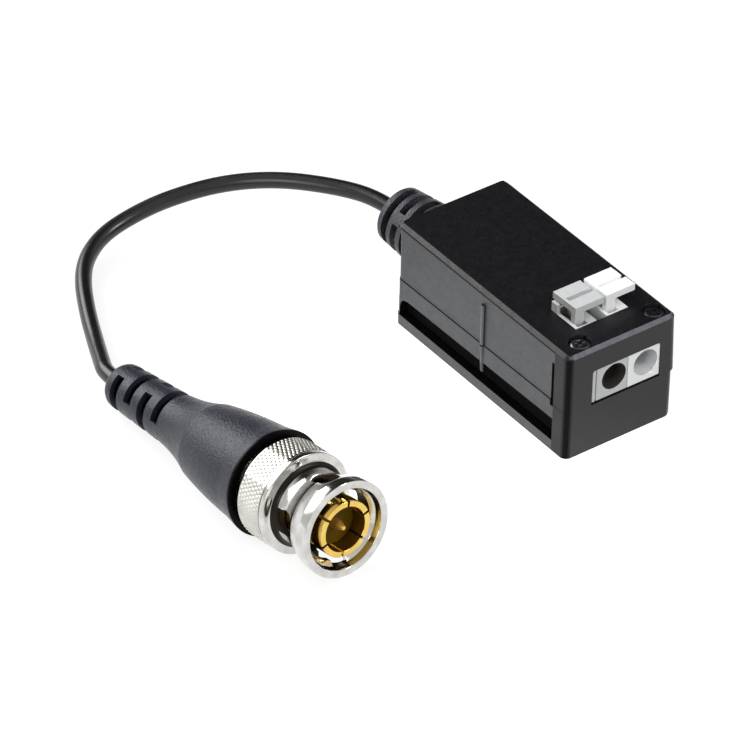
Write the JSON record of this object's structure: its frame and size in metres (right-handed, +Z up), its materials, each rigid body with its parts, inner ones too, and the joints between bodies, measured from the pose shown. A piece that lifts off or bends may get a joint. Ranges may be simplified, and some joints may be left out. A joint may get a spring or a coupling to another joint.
{
  "type": "video balun with a bayonet coaxial plug",
  "caption": "Passive video balun: moulded box with push-lever wire terminals, strain relief, short coaxial lead and a bayonet video plug.",
  "frame": {"origin": "on the surface under the middle of the box, which stands on its flat base", "axes": "+Z up, -Y towards the wire entries, +Y towards the lead, +X to the right seen from the wire entries"},
  "size_m": [0.0652, 0.0813, 0.0191],
  "materials": {
    "case_plastic": "moulded black ABS with a faint grain",
    "screw_steel": "black oxide",
    "grey_plastic": "moulded light grey nylon",
    "white_plastic": "moulded white nylon",
    "boot_plastic": "matte black soft PVC",
    "cable_plastic": "extruded black PVC",
    "nickel": "bright nickel plate on brass",
    "gold": "thin gold plate",
    "dielectric": "translucent olive brown insulator",
    "seal": "red brown silicone",
    "spring_steel": "bright spring steel",
    "tin": "tinned",
    "board_laminate": "green laminate",
    "ferrite": "sintered ferrite",
    "copper": "enamelled copper",
    "component": "lacquered component"
  },
  "bodies": {
    "balun": {"upper_shell": "case_plastic", "lower_shell": "case_plastic", "case_screws": "screw_steel", "circuit_board": "board_laminate", "toroid_core": "ferrite", "winding_line_side": "copper", "winding_camera_side": "copper", "surge_suppressor": "component", "coupling_capacitor": "component", "damping_resistor": "component", "terminal_end_plate": "grey_plastic", "terminal_housing_grey": "grey_plastic", "terminal_housing_white": "white_plastic", "contact_bar_grey": "tin", "contact_bar_white": "tin", "clamp_spring_grey": "spring_steel", "clamp_spring_white": "spring_steel", "cable_gland": "boot_plastic", "gland_lead": "cable_plastic", "core_wire": "copper", "braid_wire": "tin", "cable": "cable_plastic", "outer_contact": "gold", "insulator": "dielectric", "centre_pin": "gold", "gasket": "seal", "plug_body": "nickel", "crimp_ferrule": "nickel", "wave_washer": "spring_steel", "plug_boot": "boot_plastic", "plug_lead": "cable_plastic"},
    "lever_grey_body": {"lever_grey": "grey_plastic"},
    "lever_white_body": {"lever_white": "white_plastic"},
    "nut_bearing": {"thrust_washer": "nickel"},
    "coupling_ring": {"coupling_nut": "nickel"}
  },
  "joints": [
    {"name": "lever_grey_press", "type": "hinge", "parent": "balun", "child": "lever_grey_body", "pos_m": [-0.00299, -0.0094, 0.0141], "axis": [1, 0, 0], "range_deg": [0, 11], "stiffness_Nm_per_rad": 0.05, "springref_deg": -11.46, "deforming": ["clamp_spring_grey"]},
    {"name": "lever_white_press", "type": "hinge", "parent": "balun", "child": "lever_white_body", "pos_m": [0.00215, -0.0094, 0.0141], "axis": [1, 0, 0], "range_deg": [0, 11], "stiffness_Nm_per_rad": 0.05, "springref_deg": -11.46, "deforming": ["clamp_spring_white"]},
    {"name": "nut_float", "type": "slide", "parent": "balun", "child": "nut_bearing", "axis": [0.0346, -0.9911, 0.1288], "range_m": [0, 0.0008], "stiffness_N_per_m": 2000, "springref_m": -0.002, "deforming": ["wave_washer"]},
    {"name": "nut_turn", "type": "hinge", "parent": "nut_bearing", "child": "coupling_ring", "pos_m": [-0.04842, -0.0127, 0.00795], "axis": [0.0346, -0.9911, 0.1288], "continuous": true}
  ]
}
